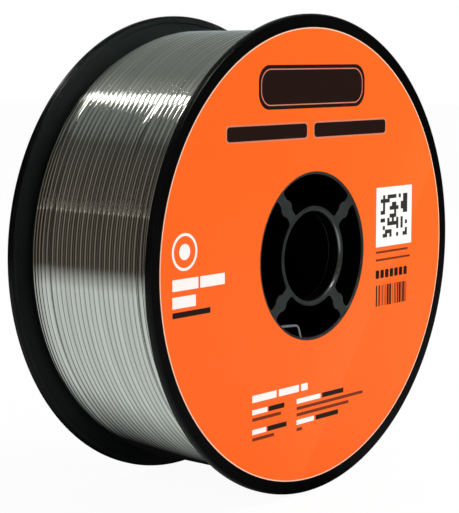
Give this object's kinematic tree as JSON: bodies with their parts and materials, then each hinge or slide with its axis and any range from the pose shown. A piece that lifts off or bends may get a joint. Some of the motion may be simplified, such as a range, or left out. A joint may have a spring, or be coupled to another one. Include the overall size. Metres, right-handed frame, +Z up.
{
  "type": "welding wire spool",
  "caption": "Black moulded flanged spool wound full of bare welding wire, with a ribbed hub, a spindle bore and a round face label.",
  "frame": {"origin": "centre of the spindle bore at mid width, the centre of the whole spool", "axes": "+Z up with the spool standing on its two rims, Y along the spindle bore, and the labelled flange facing -Y"},
  "size_m": [0.27, 0.106, 0.27],
  "materials": {
    "spool_plastic": "black moulded polystyrene, satin",
    "steel_wire": "bare drawn steel wire, bright grey",
    "label_print": "orange printed label, semi-gloss"
  },
  "bodies": {
    "root": {"front_half": "spool_plastic", "rear_half": "spool_plastic", "wire_winding": "steel_wire", "face_label": "label_print"}
  },
  "joints": []
}
